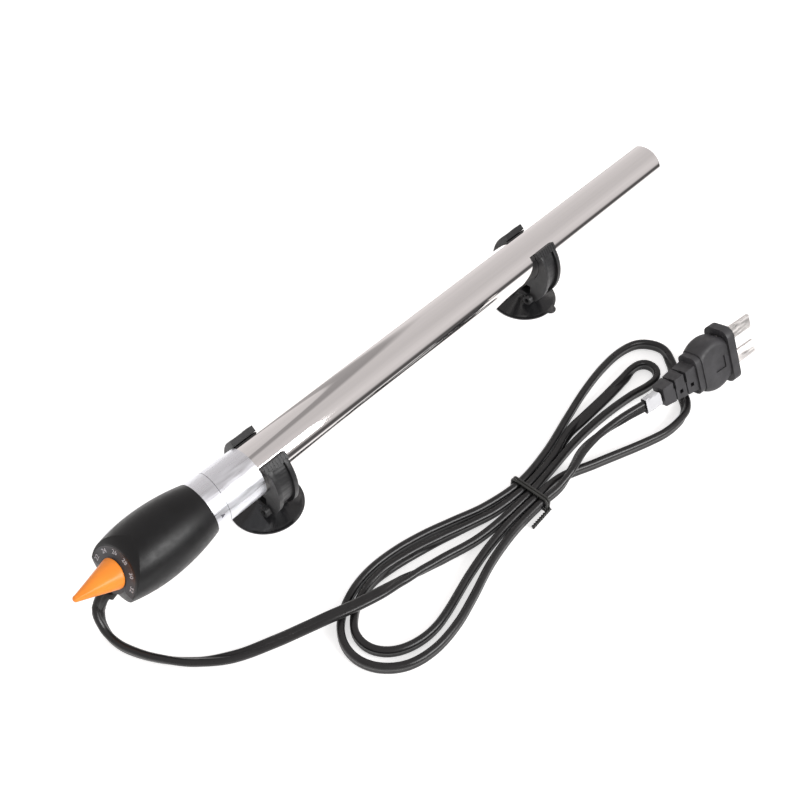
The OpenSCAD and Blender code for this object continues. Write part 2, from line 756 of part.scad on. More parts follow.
// Route of the cord's middle from the gland to the strain relief, in mm from a point on the resting
// plane under the head's rim: x along the tube, y to the left, z up, and the cord's lean in degrees,
// 0 lying flat and 90 standing on its edge.
cord_route = [
  [-43.4, 1.7, 17.9, 0], [-45.9, 2.1, 15.7, 20], [-48.3, 1.9, 11, 50], [-49.8, -1, 6.4, 70],
  [-50.1, -6, 3.6, 80], [-48.6, -13, 2.6, 80], [-43.5, -24, 2.6, 70], [-35, -35, 2.3, 45],
  [-24, -43.2, 1.8, 10], [-10, -50, 2.8, 0], [-1, -54.6, 5, 0], [8, -58.8, 6.8, 0], [17, -62.2, 7, 0],
  [27, -65, 6.5, 0], [38, -66.4, 4.2, 30], [49, -68.6, 2.7, 75], [58, -71, 2.6, 90],
  [72, -74.6, 2.6, 90], [86, -76, 3, 90], [103, -76.3, 3.9, 90], [120, -74.6, 3, 90],
  [136, -73, 2.6, 90], [150, -72.8, 2.6, 90], [163, -73.6, 2.6, 90], [175, -75.2, 2.6, 90],
  [184, -77.2, 2.6, 90], [190.4, -77.2, 2.6, 90], [194.6, -73.8, 2.6, 90], [194.4, -69, 2.6, 90],
  [190, -66.4, 2.6, 90], [181, -66.8, 2.4, 50], [168, -67.2, 1.9, 15], [152, -67.4, 1.9, 15],
  [140, -67.8, 2.4, 60], [124, -71.2, 2.8, 90], [103, -73.2, 3.9, 90], [88, -71.6, 3, 90],
  [76, -68, 2.6, 90], [64, -64.2, 2.6, 80], [52, -60.8, 2.5, 60], [40, -58.4, 2.5, 60],
  [32, -58, 2.6, 80], [24, -59.4, 2.6, 90], [17, -62.8, 2.6, 90], [11.2, -69, 2.6, 90],
  [10.6, -77, 2.6, 90], [15.6, -84, 2.6, 90], [25, -88, 2.6, 90], [36, -88.2, 2.6, 90],
  [58, -83, 2.6, 90], [72, -80.4, 2.6, 90], [86, -79.2, 3, 90], [103, -79.5, 3.9, 90],
  [118, -80, 2.8, 90], [134, -86, 2.6, 90], [164, -97, 2.6, 90], [176, -98.4, 2.6, 90],
  [184, -96.6, 2.6, 60], [190.6, -90.8, 2, 12], [196.4, -83.6, 2.2, 15], [203, -76.4, 2.6, 60],
  [207.4, -68.6, 2.6, 90], [203.4, -60, 2.6, 90], [194, -56.4, 2.6, 90], [180, -56.2, 2.6, 90],
  [163, -58.6, 2.6, 90], [146, -62.4, 2.6, 90], [124, -67.6, 2.8, 90], [103, -70.1, 3.9, 90],
  [86, -67, 3, 90], [72, -62, 2.6, 90], [60, -58, 2.6, 90], [47, -55, 2.6, 90], [34, -54, 2.6, 90],
  [22.6, -55.8, 2.6, 90], [12, -60.8, 2.6, 90], [5.8, -68, 2.6, 90], [4.2, -76.4, 2.6, 90],
  [7.4, -84.8, 2.6, 90], [15, -91.4, 2.6, 90], [26, -94.2, 2.6, 90], [39, -93.4, 2.6, 90],
  [52, -90.2, 2.6, 90], [66, -86, 2.6, 90], [77, -83.8, 2.7, 90], [88, -82.6, 3, 90],
  [103, -82.6, 3.9, 90], [112, -83.8, 5.8, 90], [121, -83, 8.7, 60], [132, -80.5, 8.8, 45],
  [145.4, -80.8, 9, 70], [158, -83.3, 9.9, 100], [166.5, -85.7, 10.7, 114], [175.2, -87.5, 11.4, 114]];

cord_sides = 8;
cord_count = len(cord_route);

// Start of the strain relief on the cord, and how the plug is turned, tipped up and leans there.
plug_start = [175.2, -87.5, 11.4];
plug_yaw = -10.3;
plug_pitch = -4.5;
plug_lean = -24;

// Ways that the cord leaves the gland and enters the plug.
gland_way = [
  -cos(gland_pitch), sin(gland_pitch) * sin(head_roll), -sin(gland_pitch) * cos(head_roll)];
plug_way = [cos(plug_yaw) * cos(plug_pitch), sin(plug_yaw) * cos(plug_pitch), -sin(plug_pitch)];

// Direction of the cord at one of its points, smoothed over its neighbours.
function unit(v) = v / norm(v);
function point_at(i) = [for (k = [0 : 2]) cord_route[i][k]];
function heading(i) = i == 0 ? gland_way
  : i == cord_count - 1 ? plug_way : unit(point_at(i + 1) - point_at(i - 1));

// Outline of the cord at one point: an oval as wide and as thick as the cord, turned by its lean.
function cord_outline(i) =
  let (t = heading(i), side = unit(cross(t, [0, 0, 1])), up = cross(side, t), lean = cord_route[i][3],
    wide = cos(lean) * side + sin(lean) * up, thick = -sin(lean) * side + cos(lean) * up)
  [for (k = [0 : cord_sides - 1]) let (a = 360 * (k + 0.5) / cord_sides)
    point_at(i) + wide * cord_w / 2 * cos(a) / cos(180 / cord_sides)
      + thick * cord_t / 2 * sin(a) / cos(180 / cord_sides)];

module power_cord() color("#101012") translate([rim_x, 0, 0])
  polyhedron(
    [for (i = [0 : cord_count - 1]) each cord_outline(i)],
    stack_faces(cord_sides, cord_count), convexity = 12);

tie_at = [103, -76.35, 3.9];
tie_slots = 5;
tie_pitch = 3.12;
tie_wire_t = 1;
tie_slack = [0.5, 0.25];
tie_half = [tie_slots * tie_pitch / 2 + tie_slack[0], cord_w / 2 + tie_slack[1]];
tie_width = 2.4;
tail_r = 0.8;
tail_len = 11;
tail_drop = 2.6;

// Flat tie round the bundle, with its twisted tail lying beside it.
module cord_tie() color("#2a2a2c") translate([rim_x, 0, 0]) translate(tie_at) {
  translate([-tie_width / 2, 0, 0]) across_tube() linear_extrude(tie_width) difference() {
    offset(r = tie_wire_t, $fn = 24) square(2 * tie_half, center = true);
    square(2 * tie_half, center = true);
  }
  translate([-tail_len, -tie_half[0] - tie_wire_t - tail_r / 2, -tail_drop]) along_tube()
    cylinder(r = tail_r, h = tail_len + tie_width / 2);
}

// Moves to the start of the strain relief: +X towards the blades, +Z along the row of blades.
module at_plug() translate([rim_x, 0, 0]) translate(plug_start)
  rotate([0, 0, plug_yaw]) rotate([0, plug_pitch, 0]) rotate([plug_lean, 0, 0]) children();

tag_gap = 1.2;
tag_len = 7.5;
tag_t = 0.5;
tag_room = 0.9;

module cord_tag() color("white") at_plug() translate([-tag_gap - tag_len, 0, 0])
  across_tube() linear_extrude(tag_len) difference() {
    square([cord_t + tag_room + 2 * tag_t, cord_w + tag_room + 2 * tag_t], center = true);
    square([cord_t + tag_room, cord_w + tag_room], center = true);
  }

module rounded_outline(w, h, r) {
  square([w - 2 * r, h], center = true);
  square([w, h - 2 * r], center = true);
  for (sx = [-1, 1], sy = [-1, 1]) translate([sx * (w / 2 - r), sy * (h / 2 - r)]) circle(r);
}

relief_from = [6.4, 8.4];
relief_to = [8.4, 12];
relief_blocks = 3;
block_len = relief_len / relief_blocks;
relief_skin = 1.4;
groove_w = 0.7;
groove_skin = [1.2, 1.2];
slot_w = 1.3;
hole_w = 1.8;
collar_t = 3;
collar_size = [10.5, 18];
collar_corner = 3;

module tapered_block(size0, size1, x0, x1) hull() {
  translate([x0, -size0[0] / 2, -size0[1] / 2]) cube([eps, size0[0], size0[1]]);
  translate([x1 - eps, -size1[0] / 2, -size1[1] / 2]) cube([eps, size1[0], size1[1]]);
}

// Cuts that part the strain relief into blocks: a groove all round, a slot over the upper half
// of one side, and a square hole in the lower half of that side.
module relief_cuts(x) {
  difference() {
    translate([x, 0, 0]) cube([groove_w, far, far], center = true);
    tapered_block(relief_from - groove_skin, relief_to - groove_skin, 0, relief_len);
  }
  for (turn = [0, 180]) rotate([turn, 0, 0]) {
    translate([x - slot_w / 2, -far, hole_w / 2]) cube([slot_w, far, far]);
    translate([x + block_len / 2 - hole_w / 2, -far, -3 * hole_w / 2]) cube([hole_w, far, hole_w]);
  }
}

module strain_relief() color("#1b1b1d") at_plug() {
  difference() {
    tapered_block(relief_from, relief_to, 0, relief_len);
    difference() {
      for (i = [1 : relief_blocks - 1]) relief_cuts(i * block_len);
      cube([far, cord_t + relief_skin, cord_w + relief_skin], center = true);
    }
  }
  translate([relief_len - eps, 0, 0]) across_tube() linear_extrude(collar_t)
    rounded_outline(collar_size[0], collar_size[1], collar_corner);
}

body_t = 11.5;
body_r = 12;
body_round = 3;
body_x = relief_len + collar_t;
flange_depth = 4;
flange_corner = 4;
flange_x = body_x + body_len;
panel = [6, 6];
panel_from_flange = 2.5;
panel_depth = 0.6;
blade_seat = 2;

// Disc with rounded shoulders about the plug's sideways axis, between the collar and the flange.
module plug_disc() intersection() {
  translate([body_x + body_len / 2, 0, 0]) rotate([90, 0, 0]) rotate_extrude() {
    translate([0, -body_t / 2]) square([body_r - body_round, body_t]);
    translate([0, body_round - body_t / 2]) square([body_r, body_t - 2 * body_round]);
    for (side = [-1, 1]) translate([body_r - body_round, side * (body_t / 2 - body_round)])
      circle(body_round);
  }
  translate([body_x, -far / 2, -far / 2]) cube([body_len + eps, far, far]);
}

// Both blades, or their seats in the plug, from this far behind the flange's front to this far out.
module blade_pair(inside, outside) for (side = [-1, 1])
  translate([flange_x + flange_depth - inside, -blade_t / 2, side * blade_pitch / 2 - blade_w / 2])
    cube([inside + outside, blade_t, blade_w]);

module plug_body() color("#1b1b1d") at_plug() difference() {
  union() {
    plug_disc();
    translate([flange_x, 0, 0]) across_tube() linear_extrude(flange_depth)
      rounded_outline(flange_t, flange_w, flange_corner);
  }
  for (y = [-body_t / 2 - far + panel_depth, body_t / 2 - panel_depth])
    translate([flange_x - panel_from_flange - panel[0], y, -panel[1] / 2]) cube([panel[0], far, panel[1]]);
  blade_pair(flange_depth + blade_seat, far);
}

module plug_blades() color("silver") at_plug() blade_pair(flange_depth + blade_seat, blade_len);

outer_tube();
rating_label();
head_housing();
dial_ring();
control_knob();
knob_spindle();
spindle_seals();
spindle_clip();
adjusting_nut();
nut_guide();
push_rod();
seal_plug();
tube_seal();
thermostat_base();
bimetal_strip();
contact_arm();
contact_points();
snap_magnet();
base_rivets();
suppressor_capacitor();
thermal_fuse();
element_core();
heating_coil();
spacer_discs();
lead_wires();
crimp_sleeves();
cord_gland();
clip_near();
clip_far();
cup_near();
cup_far();
power_cord();
cord_tie();
cord_tag();
strain_relief();
plug_body();
plug_blades();
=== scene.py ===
import math
import random

import bpy
from mathutils import Matrix, Vector


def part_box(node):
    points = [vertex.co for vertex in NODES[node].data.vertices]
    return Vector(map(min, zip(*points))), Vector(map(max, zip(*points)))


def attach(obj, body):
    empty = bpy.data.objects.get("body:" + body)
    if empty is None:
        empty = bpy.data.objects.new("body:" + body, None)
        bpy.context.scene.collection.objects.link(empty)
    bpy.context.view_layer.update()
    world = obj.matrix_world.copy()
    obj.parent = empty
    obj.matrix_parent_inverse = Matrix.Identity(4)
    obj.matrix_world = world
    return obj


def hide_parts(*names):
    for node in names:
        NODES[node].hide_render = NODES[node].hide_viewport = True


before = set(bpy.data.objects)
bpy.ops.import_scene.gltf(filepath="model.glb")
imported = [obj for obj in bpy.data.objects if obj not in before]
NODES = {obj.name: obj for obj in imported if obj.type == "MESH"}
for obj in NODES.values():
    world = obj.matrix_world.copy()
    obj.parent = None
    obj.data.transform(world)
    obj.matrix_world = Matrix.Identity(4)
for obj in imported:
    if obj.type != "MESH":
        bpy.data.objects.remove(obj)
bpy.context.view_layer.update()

MM = 0.001
SCENE = bpy.context.scene
X_AXIS, Z_AXIS = Vector((1, 0, 0)), Vector((0, 0, 1))

# ---- Places: the frame's boxes, and sizes that repeat those of the CAD source ----

TUBE_INSERT = 14 * MM
TUBE_LOW, TUBE_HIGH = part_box("outer_tube")
TUBE_R = (TUBE_HIGH.y - TUBE_LOW.y) / 2
AXIS_Z = (TUBE_HIGH.z + TUBE_LOW.z) / 2
RIM = Vector((TUBE_LOW.x + TUBE_INSERT, 0, 0))
TUBE_LEN = TUBE_HIGH.x - RIM.x
AT_RIM = Matrix.Translation(RIM + Vector((0, 0, AXIS_Z)))
ALONG_TUBE = AT_RIM @ Matrix.Rotation(math.radians(90), 4, "Y")

HEAD_ROLL = math.radians(10)
FACE_X = 39.4 * MM
FACE_TILT = math.radians(26)
AT_FACE = (AT_RIM @ Matrix.Translation((-FACE_X, 0, 0)) @ Matrix.Rotation(HEAD_ROLL, 4, "X")
           @ Matrix.Rotation(FACE_TILT - math.radians(90), 4, "Y"))

PLUG_START = RIM + Vector((175.2, -87.5, 11.4)) * MM
PLUG_YAW = math.radians(-10.3)
PLUG_PITCH = math.radians(-4.5)
PLUG_LEAN = math.radians(-24)
AT_PLUG = (Matrix.Translation(PLUG_START) @ Matrix.Rotation(PLUG_YAW, 4, "Z")
           @ Matrix.Rotation(PLUG_PITCH, 4, "Y") @ Matrix.Rotation(PLUG_LEAN, 4, "X"))


# ---- Mesh helpers ----

# Edges sharper than this many degrees are kept crisp, or rounded where a piece has its edges rounded.
EDGE_ANGLE = 35
# Stands for a radius of zero where a turned skin meets its axis.
POLE_R = 0.02 * MM


def add_piece(name, points, faces, finish, body, slot, place=None, sharp=EDGE_ANGLE):
    """A mesh object from points and faces, moved to its place, riding on its body. The slot is not used.
    """
    mesh = bpy.data.meshes.new(name)
    mesh.from_pydata([tuple(p) for p in points], [], faces)
    mesh.validate()
    mesh.materials.append(finish)
    piece = bpy.data.objects.new(name, mesh)
    SCENE.collection.objects.link(piece)
    if place is not None:
        mesh.transform(place)
    smooth(piece, sharp)
    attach(piece, body)
    return piece


def smooth(piece, sharp):
    """Smooth shading, with edges sharper than this many degrees kept crisp."""
    for polygon in piece.data.polygons:
        polygon.use_smooth = True
    piece.data.set_sharp_from_angle(angle=math.radians(sharp))


def join(parts):
    """One list of points and one of faces from several such pairs."""
    points, faces = [], []
    for part_points, part_faces in parts:
        start = len(points)
        points += part_points
        faces += [tuple(start + i for i in face) for face in part_faces]
    return points, faces


def stack(rings, caps=True):
    """Points and faces of a skin over rings of points, each ring with as many points as the next."""
    count = len(rings[0])
    points = [p for ring in rings for p in ring]
    faces = []
    for j in range(len(rings) - 1):
        for i in range(count):
            k = (i + 1) % count
            low, high = j * count, (j + 1) * count
            faces.append((low + i, low + k, high + k, high + i))
    if caps:
        faces.append(tuple(range(count - 1, -1, -1)))
        faces.append(tuple(range((len(rings) - 1) * count, len(rings) * count)))
    return points, faces


def lathe(profile, segments, closed=False):
    """Skin of a profile of (radius, height) pairs turned about Z. A closed profile makes a ring."""
    steps = [2 * math.pi * i / segments for i in range(segments)]
    rings = [[Vector((r * math.cos(a), r * math.sin(a), z)) for a in steps] for r, z in profile]
    return loop(rings) if closed else stack(rings)


def loop(rings):
    """Skin over rings of points whose last ring joins the first."""
    points, faces = stack(rings + rings[:1], caps=False)
    count = len(rings) * len(rings[0])
    return points[:count], [tuple(i % count for i in face) for face in faces]


def sweep(path, radius, sides=10, closed=False):
    """Round wire along a path of points."""
    rings = []
    last = len(path) - 1
    for i, place in enumerate(path):
        before = path[i - 1] if closed or i > 0 else place
        after = path[(i + 1) % len(path)] if closed or i < last else place
        way = (after - before).normalized()
        side = way.cross(X_AXIS if abs(way.x) < 0.7 else Z_AXIS).normalized()
        up = side.cross(way)
        rings.append([place + radius * (math.cos(a) * side + math.sin(a) * up)
                      for a in (2 * math.pi * k / sides for k in range(sides))])
    return loop(rings) if closed else stack(rings)


def arc(centre, radius, start, end, steps):
    """Points on an arc in a flat outline, from one angle in degrees to another."""
    angles = [math.radians(start + (end - start) * i / steps) for i in range(steps + 1)]
    return [(centre[0] + radius * math.cos(a), centre[1] + radius * math.sin(a)) for a in angles]


def rounded_rect(width, height, radius, steps=6):
    """Outline of a rectangle with round corners, about its middle."""
    x, y = width / 2 - radius, height / 2 - radius
    corners = [((x, -y), -90), ((x, y), 0), ((-x, y), 90), ((-x, -y), 180)]
    return [p for centre, start in corners for p in arc(centre, radius, start, start + 90, steps)]


# ---- Material helpers ----

# Most values of a noise texture lie between these two.
NOISE_LOW, NOISE_HIGH = 0.3, 0.7


def material(name, colour, roughness, metallic=0.0, specular=0.5):
    """A Principled material with one colour and roughness all over."""
    made = bpy.data.materials.new(name)
    made.use_nodes = True
    shader = made.node_tree.nodes["Principled BSDF"]
    shader.inputs["Base Color"].default_value = (*colour, 1)
    shader.inputs["Roughness"].default_value = roughness
    shader.inputs["Metallic"].default_value = metallic
    shader.inputs["Specular IOR Level"].default_value = specular
    return made


def feed(made, value, socket):
    """Links an output to the socket, or sets the socket to a plain value."""
    if isinstance(value, bpy.types.NodeSocket):
        made.node_tree.links.new(value, socket)
    else:
        socket.default_value = value


def add_node(made, kind, **inputs):
    """A node of this kind, with values or links for the inputs named."""
    node = made.node_tree.nodes.new(kind)
    for key, value in inputs.items():
        feed(made, value, node.inputs[key.replace("_", " ")])
    return node


def chain(made, kind, *values, operation=None):
    """A node of this kind whose inputs take these values or links in their order."""
    node = made.node_tree.nodes.new(kind)
    if operation:
        node.operation = operation
    for socket, value in zip(node.inputs, values):
        feed(made, value, socket)
    return node


def object_place(made, stretch=(1, 1, 1)):
    """The object's own coordinates, stretched along its axes."""
    place = add_node(made, "ShaderNodeTexCoord").outputs["Object"]
    mapping = add_node(made, "ShaderNodeMapping", Vector=place)
    mapping.inputs["Scale"].default_value = stretch
    return mapping.outputs["Vector"]


def noise(made, scale, detail=3.0, stretch=(1, 1, 1)):
    """A noise texture over the object, in spots of about 1 / scale metres."""
    return add_node(made, "ShaderNodeTexNoise", Vector=object_place(made, stretch), Scale=scale,
                    Detail=detail).outputs["Fac"]


def spread(made, value, low, high):
    """A noise value mapped to run from low to high."""
    return add_node(made, "ShaderNodeMapRange", Value=value, From_Min=NOISE_LOW, From_Max=NOISE_HIGH,
                    To_Min=low, To_Max=high).outputs["Result"]


def link(made, output, socket):
    """Links an output to this socket of the material's own shader."""
    made.node_tree.links.new(output, made.node_tree.nodes["Principled BSDF"].inputs[socket])


def vary_colour(made, value, dark, light):
    """The base colour runs from dark to light with this value."""
    ramp = add_node(made, "ShaderNodeValToRGB", Fac=value)
    ramp.color_ramp.elements[0].position = NOISE_LOW
    ramp.color_ramp.elements[0].color = (*dark, 1)
    ramp.color_ramp.elements[1].position = NOISE_HIGH
    ramp.color_ramp.elements[1].color = (*light, 1)
    link(made, ramp.outputs["Color"], "Base Color")


def bump(made, value, depth):
    """A bump of this depth in metres from the value."""
    node = add_node(made, "ShaderNodeBump", Height=value, Distance=depth, Strength=1.0)
    link(made, node.outputs["Normal"], "Normal")


def moulded(name, colour, roughness, grain=2600, depth=0.00002, change=0.25, specular=0.5):
    """Moulded plastic or rubber: a fine grain, patches of other gloss and a slight change of colour."""
    made = material(name, colour, roughness, specular=specular)
    patches = noise(made, 160, 2)
    vary_colour(made, patches, [c * (1 - change) for c in colour], [c * (1 + change) for c in colour])
    link(made, spread(made, noise(made, 420, 4), roughness * 0.85, roughness * 1.15), "Roughness")
    bump(made, noise(made, grain, 2), depth)
    return made


def metal(name, colour, roughness, stretch=(1, 1, 1), change=0.08, depth=0.0):
    """Bare metal with fine drawn marks along one axis."""
    made = material(name, colour, roughness, metallic=1.0)
    marks = noise(made, 900, 3, stretch)
    vary_colour(made, marks, [c * (1 - change) for c in colour], colour)
    link(made, spread(made, marks, roughness * 0.6, roughness * 1.5), "Roughness")
    if depth:
        bump(made, marks, depth)
    return made


# ---- Materials ----

HEAD_PLASTIC = moulded("head_plastic", (0.004, 0.004, 0.0045), 0.4, grain=1800, depth=0.000008,
                       specular=0.4)
DIAL_PLASTIC = moulded("dial_plastic", (0.055, 0.055, 0.060), 0.5)
KNOB_PLASTIC = moulded("knob_plastic", (1.0, 0.29, 0.025), 0.38, change=0.06, depth=0.00001)
NUMBER_INK = moulded("number_ink", (0.62, 0.62, 0.66), 0.6, change=0.08)
CLIP_PLASTIC = moulded("clip_plastic", (0.013, 0.013, 0.014), 0.42, depth=0.00003)
CUP_RUBBER = moulded("cup_rubber", (0.010, 0.010, 0.011), 0.2, depth=0.000006)
CORD_RUBBER = moulded("cord_rubber", (0.011, 0.0105, 0.011), 0.3, depth=0.00001)
PLUG_PLASTIC = moulded("plug_plastic", (0.036, 0.035, 0.038), 0.52, depth=0.00003)
TIE_PLASTIC = moulded("tie_plastic", (0.030, 0.030, 0.028), 0.4)
TAG_PAPER = moulded("tag_paper", (0.60, 0.60, 0.62), 0.7, grain=900, depth=0.00006, change=0.04)
SEAL_RUBBER = moulded("seal_rubber", (0.012, 0.012, 0.012), 0.5)
CARRIER_PLASTIC = moulded("carrier_plastic", (0.62, 0.55, 0.42), 0.55)
CERAMIC = moulded("ceramic", (0.76, 0.72, 0.64), 0.6, grain=1200, depth=0.00005)
CAPACITOR_SHELL = moulded("capacitor_shell", (0.30, 0.05, 0.03), 0.3)
WIRE_INSULATION = moulded("wire_insulation", (0.45, 0.04, 0.03), 0.35)
LABEL_INK = moulded("label_ink", (0.11, 0.11, 0.13), 0.45, change=0.1)

POLISHED_STEEL = metal("polished_steel", (0.93, 0.905, 0.895), 0.045, stretch=(0.02, 1, 1), change=0.03)
LABEL_FILM = metal("label_film", (0.88, 0.89, 0.93), 0.36, stretch=(0.1, 1, 1), change=0.05)
SPRING_STEEL = metal("spring_steel", (0.58, 0.58, 0.58), 0.25, stretch=(0.05, 1, 1))
CONTACT_SILVER = metal("contact_silver", (0.85, 0.84, 0.82), 0.2)
BIMETAL = metal("bimetal", (0.60, 0.42, 0.25), 0.3, stretch=(0.05, 1, 1))
BRASS = metal("brass", (0.72, 0.53, 0.26), 0.25)
MAGNET_IRON = metal("magnet_iron", (0.16, 0.16, 0.17), 0.5)
HEATING_WIRE = metal("heating_wire", (0.30, 0.29, 0.28), 0.45)
BLADE_METAL = metal("blade_metal", (0.86, 0.83, 0.81), 0.42, stretch=(0.05, 1, 1), depth=0.000004)

NODE_FINISH = {
    "outer_tube": POLISHED_STEEL, "rating_label": LABEL_FILM, "head_housing": HEAD_PLASTIC,
    "dial_ring": DIAL_PLASTIC, "control_knob": KNOB_PLASTIC, "knob_spindle": BRASS,
    "spindle_seals": SEAL_RUBBER, "spindle_clip": SPRING_STEEL, "adjusting_nut": BRASS,
    "nut_guide": CARRIER_PLASTIC, "push_rod": CERAMIC, "seal_plug": SEAL_RUBBER,
    "tube_seal": SEAL_RUBBER, "thermostat_base": CARRIER_PLASTIC, "bimetal_strip": BIMETAL,
    "contact_arm": SPRING_STEEL, "contact_points": CONTACT_SILVER, "snap_magnet": MAGNET_IRON,
    "base_rivets": SPRING_STEEL, "suppressor_capacitor": CAPACITOR_SHELL,
    "thermal_fuse": SPRING_STEEL, "element_core": CERAMIC, "heating_coil": HEATING_WIRE,
    "spacer_discs": CERAMIC, "lead_wires": WIRE_INSULATION, "crimp_sleeves": CONTACT_SILVER,
    "cord_gland": SEAL_RUBBER, "clip_near": CLIP_PLASTIC, "clip_far": CLIP_PLASTIC,
    "cup_near": CUP_RUBBER, "cup_far": CUP_RUBBER, "power_cord": CORD_RUBBER,
    "cord_tie": TIE_PLASTIC, "cord_tag": TAG_PAPER, "strain_relief": PLUG_PLASTIC,
    "plug_body": PLUG_PLASTIC, "plug_blades": BLADE_METAL,
}
for node_name, finish in NODE_FINISH.items():
    node_mesh = NODES[node_name].data
    node_mesh.materials.clear()
    node_mesh.materials.append(finish)


# ---- Camera, lamp, world and floor ----

# The camera's place from the point on the ground under the head's rim, in mm, and its turns in
# degrees about Z, then X, then its own way of looking.
CAMERA_PLACE = (-124.46, -222.15, 355.32)
CAMERA_YAW, CAMERA_PITCH, CAMERA_ROLL = -46.39, 42.01, -0.88
# The lamp shines from this direction and distance onto the frame's middle.
LAMP_WAY = Vector((0.08, -0.86, 0.50)).normalized()
LAMP_DISTANCE = 0.8

camera_data = bpy.data.cameras.new("camera")
camera_data.lens = 49.5
camera_data.sensor_width = 36
camera_data.clip_start = 0.01
camera = bpy.data.objects.new("camera", camera_data)
SCENE.collection.objects.link(camera)
SCENE.camera = camera
camera.matrix_world = (Matrix.Translation(RIM + Vector(CAMERA_PLACE) * MM)
                       @ Matrix.Rotation(math.radians(CAMERA_YAW), 4, "Z")
                       @ Matrix.Rotation(math.radians(CAMERA_PITCH), 4, "X")
                       @ Matrix.Rotation(math.radians(CAMERA_ROLL), 4, "Z"))

lamp_data = bpy.data.lights.new("softbox", "AREA")
lamp_data.shape = "RECTANGLE"
lamp_data.energy = 4.4
lamp_data.size = 0.5
lamp_data.size_y = 0.34
lamp = bpy.data.objects.new("softbox", lamp_data)
SCENE.collection.objects.link(lamp)
lamp.location = LAMP_WAY * LAMP_DISTANCE
lamp.rotation_euler = LAMP_WAY.to_track_quat("Z", "Y").to_euler()


# Brightness of the studio seen in gloss, by degrees from the front horizon over the top to the back.
STUDIO_LEVELS = [(0, 0.08), (4, 0.12), (10, 0.50), (14, 0.64), (34, 0.70), (70, 0.58), (100, 0.60),
                 (140, 0.66), (172, 0.78), (180, 0.92)]
STUDIO_TINT = (1, 0.955, 0.95)
# A gap between two of its panels shows as a dark band in the tube beside the head. It lies square to
# this direction: its levels go by the cosine to it, from -PANEL_SPAN (share 0) to PANEL_SPAN (1).
PANEL_WAY = (-0.849, 0.404, 0.340)
PANEL_SPAN = 0.2
GAP_LEVELS = [(0.38, 1), (0.50, 0.52), (0.67, 0.52), (0.70, 1)]


def level_ramp(made, value, levels, tint=(1, 1, 1)):
    """Grey of a tint whose brightness follows these (share, level) pairs as the value grows."""
    ramp = add_node(made, "ShaderNodeValToRGB", Fac=value)
    stops = ramp.color_ramp.elements
    stops.remove(stops[1])
    for i, (share, level) in enumerate(levels):
        stop = stops[0] if i == 0 else stops.new(share)
        stop.position = share
        stop.color = (*(level * part for part in tint), 1)
    return ramp.outputs["Color"]


def link_surface(made, output, shader):
    """Links a shader node to the surface of the node tree's output."""
    feed(made, shader.outputs[0], made.node_tree.nodes[output].inputs["Surface"])


def build_world():
    """White for the camera, even light for surfaces, and a studio with a dark horizon for gloss."""
    world = bpy.data.worlds.new("studio")
    SCENE.world = world
    world.use_nodes = True
    world.node_tree.nodes.remove(world.node_tree.nodes["Background"])
    way = add_node(world, "ShaderNodeTexCoord").outputs["Generated"]
    split = chain(world, "ShaderNodeSeparateXYZ", way)
    front = chain(world, "ShaderNodeMath", split.outputs["Y"], -1, operation="MULTIPLY")
    height = chain(world, "ShaderNodeMath", split.outputs["Z"], front.outputs[0], operation="ARCTAN2")
    up = add_node(world, "ShaderNodeMapRange", Value=height.outputs[0], From_Min=0, From_Max=math.pi)
    studio = level_ramp(world, up.outputs["Result"], [(a / 180, level) for a, level in STUDIO_LEVELS],
                        STUDIO_TINT)
    aside = chain(world, "ShaderNodeVectorMath", way, PANEL_WAY, operation="DOT_PRODUCT")
    across = add_node(world, "ShaderNodeMapRange", Value=aside.outputs["Value"], From_Min=-PANEL_SPAN,
                      From_Max=PANEL_SPAN)
    gap = level_ramp(world, across.outputs["Result"], GAP_LEVELS)
    panels = chain(world, "ShaderNodeVectorMath", studio, gap, operation="MULTIPLY")
    in_gloss = add_node(world, "ShaderNodeBackground", Color=panels.outputs["Vector"], Strength=1.0)
    even = add_node(world, "ShaderNodeBackground", Color=(1.0, 0.985, 0.98, 1), Strength=0.72)
    white = add_node(world, "ShaderNodeBackground", Color=(1, 1, 1, 1), Strength=1.0)
    path = add_node(world, "ShaderNodeLightPath")
    seen = chain(world, "ShaderNodeMixShader", path.outputs["Is Glossy Ray"], even.outputs[0],
                 in_gloss.outputs[0])
    seen = chain(world, "ShaderNodeMixShader", path.outputs["Is Camera Ray"], seen.outputs[0],
                 white.outputs[0])
    link_surface(world, "World Output", seen)


build_world()

FLOOR_HALF = 0.9
FLOOR_Z = -0.1 * MM
# Light that the paper gives of its own to what sees it, over the light that falls on it.
FLOOR_LIFT = 0.58
# In gloss the paper ends between these two places along Y, on the side where the camera stands.
GLOSS_END_START, GLOSS_END_STOP = -0.09, -0.20


